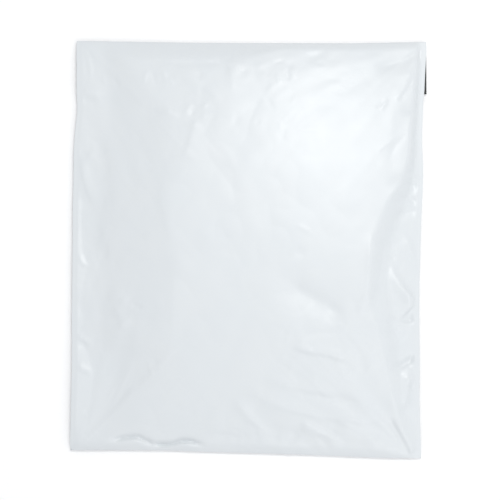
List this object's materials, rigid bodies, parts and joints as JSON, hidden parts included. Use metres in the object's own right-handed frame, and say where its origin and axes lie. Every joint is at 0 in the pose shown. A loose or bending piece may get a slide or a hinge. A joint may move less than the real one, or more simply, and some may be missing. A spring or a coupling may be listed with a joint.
{
  "type": "poly mailer bag",
  "caption": "Flat plastic mailing bag, filled and sealed: film folded at the bottom, welded down both sides, with its flap folded over the mouth and stuck to the rear panel.",
  "frame": {"origin": "on the surface that the bag lies on, below the middle of the bag", "axes": "+X across the bag to the right as seen from the address side, +Y along the bag towards the flap's fold, +Z out of the address side, which faces up"},
  "size_m": [0.351, 0.412, 0.027],
  "materials": {
    "white_film": "white polyethylene film, satin, softly creased; black on the inside",
    "adhesive": "clear hot-melt adhesive"
  },
  "bodies": {
    "root": {"mailer_bag": "white_film", "adhesive_strip": "adhesive"}
  },
  "joints": []
}
